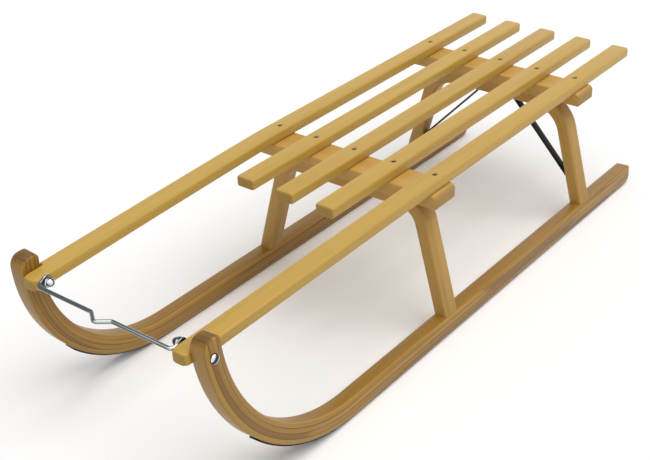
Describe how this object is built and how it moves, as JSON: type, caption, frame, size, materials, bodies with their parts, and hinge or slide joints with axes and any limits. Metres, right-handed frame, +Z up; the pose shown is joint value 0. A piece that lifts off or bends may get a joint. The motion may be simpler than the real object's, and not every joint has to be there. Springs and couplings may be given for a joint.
{
  "type": "wooden slatted sled",
  "caption": "Wooden slatted sled on two runners that bend up to horns, with bentwood trestles, flat steel braces and a bent steel tow bar across the front.",
  "frame": {"origin": "middle of the sled's footprint on the floor", "axes": "+X to the sled's right hand side as its rider sits, +Y to its tail, +Z up. The horns and the tow bar are toward -Y."},
  "size_m": [0.3692, 1.116, 0.2635],
  "materials": {
    "seat_wood": "satin",
    "frame_wood": "satin",
    "runner_wood": "satin",
    "black_steel": "satin",
    "bar_steel": "satin",
    "screw_steel": "satin"
  },
  "bodies": {
    "root": {"runner_left": "runner_wood", "runner_right": "runner_wood", "shoe_left": "black_steel", "shoe_right": "black_steel", "front_bow": "frame_wood", "rear_bow": "frame_wood", "front_crossbar": "frame_wood", "rear_crossbar": "frame_wood", "brace_left": "black_steel", "brace_right": "black_steel", "slat_left": "seat_wood", "slat_middle": "seat_wood", "slat_right": "seat_wood", "side_rail_left": "seat_wood", "side_rail_right": "seat_wood", "front_seat_screws": "screw_steel", "rear_seat_screws": "screw_steel", "tow_bar": "bar_steel", "tow_bolt_left": "screw_steel", "tow_bolt_right": "screw_steel", "cap_nut_left": "screw_steel", "cap_nut_right": "screw_steel"}
  },
  "joints": []
}
